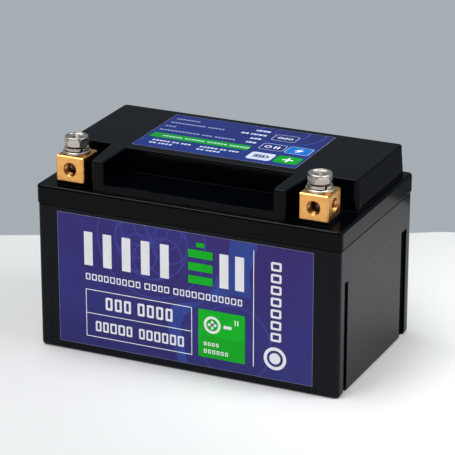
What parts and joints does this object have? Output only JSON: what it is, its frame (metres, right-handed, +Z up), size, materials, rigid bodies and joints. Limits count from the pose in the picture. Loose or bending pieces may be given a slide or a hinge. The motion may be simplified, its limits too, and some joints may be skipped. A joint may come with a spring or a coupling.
{
  "type": "motorcycle battery",
  "caption": "Twelve-volt motorcycle battery in a black moulded case with a stepped lid, labels, and brass block terminals with screws and washers.",
  "frame": {"origin": "middle of the base, under the centre of the overall box", "axes": "+X along the length towards the negative terminal, -Y towards the front label and terminals, +Z up"},
  "size_m": [0.15, 0.087, 0.1009],
  "materials": {
    "case_plastic": "glossy moulded, fine scratches",
    "lid_plastic": "glossy moulded, fine scratches",
    "black_rubber": "matte",
    "printed_film": "printed vinyl film",
    "terminal_brass": "machined, satin",
    "screw_steel": "nickel-plated, satin",
    "washer_steel": "nickel-plated, satin",
    "cell_sleeve": "heat-shrunk film",
    "holder_plastic": "moulded",
    "nickel_strip": "rolled strip",
    "copper_strap": "rolled copper",
    "insulating_sheet": "pressed fibre sheet",
    "foam": "closed-cell foam",
    "board_laminate": "solder-masked laminate",
    "board_component": "moulded epoxy",
    "heat_plate_metal": "extruded",
    "plug_plastic": "moulded",
    "wire_sleeve": "satin"
  },
  "bodies": {
    "root": {"case": "case_plastic", "lid": "lid_plastic", "lid_seal": "black_rubber", "front_label": "printed_film", "top_label": "printed_film", "positive_terminal": "terminal_brass", "negative_terminal": "terminal_brass", "positive_terminal_seal": "black_rubber", "negative_terminal_seal": "black_rubber", "cell_1": "cell_sleeve", "cell_2": "cell_sleeve", "cell_3": "cell_sleeve", "cell_4": "cell_sleeve", "left_cell_holder": "holder_plastic", "right_cell_holder": "holder_plastic", "left_front_busbar": "nickel_strip", "left_back_busbar": "nickel_strip", "right_busbar": "nickel_strip", "positive_tab": "nickel_strip", "negative_tab": "nickel_strip", "left_end_insulator": "insulating_sheet", "right_end_insulator": "insulating_sheet", "top_insulator": "insulating_sheet", "floor_pad": "foam", "front_side_pad": "foam", "back_side_pad": "foam", "control_board": "board_laminate", "board_transistors": "board_component", "board_parts": "board_component", "heat_plate": "heat_plate_metal", "balance_plug": "plug_plastic", "balance_wires": "wire_sleeve", "positive_lead": "copper_strap", "negative_lead": "copper_strap", "lead_screws": "screw_steel", "board_screws": "screw_steel"},
    "positive_washers": {"positive_flat_washer": "washer_steel", "positive_spring_washer": "washer_steel"},
    "positive_screw": {"positive_screw": "screw_steel"},
    "negative_washers": {"negative_flat_washer": "washer_steel", "negative_spring_washer": "washer_steel"},
    "negative_screw": {"negative_screw": "screw_steel"}
  },
  "joints": [
    {"name": "positive_washers_lift", "type": "slide", "parent": "root", "child": "positive_washers", "axis": [0, 0, 1], "range_m": [0, 0.009]},
    {"name": "positive_screw_turn", "type": "hinge", "parent": "positive_washers", "child": "positive_screw", "pos_m": [-0.0597, -0.0317, 0.0959], "axis": [0, 0, 1], "range_deg": [0, 3240]},
    {"name": "negative_washers_lift", "type": "slide", "parent": "root", "child": "negative_washers", "axis": [0, 0, 1], "range_m": [0, 0.009]},
    {"name": "negative_screw_turn", "type": "hinge", "parent": "negative_washers", "child": "negative_screw", "pos_m": [0.0597, -0.0317, 0.0959], "axis": [0, 0, 1], "range_deg": [0, 3240]}
  ],
  "couplings": [
    {"joint": "positive_screw_turn", "follows": "positive_washers_lift", "rad_per_m": 6283.2},
    {"joint": "negative_screw_turn", "follows": "negative_washers_lift", "rad_per_m": 6283.2}
  ]
}
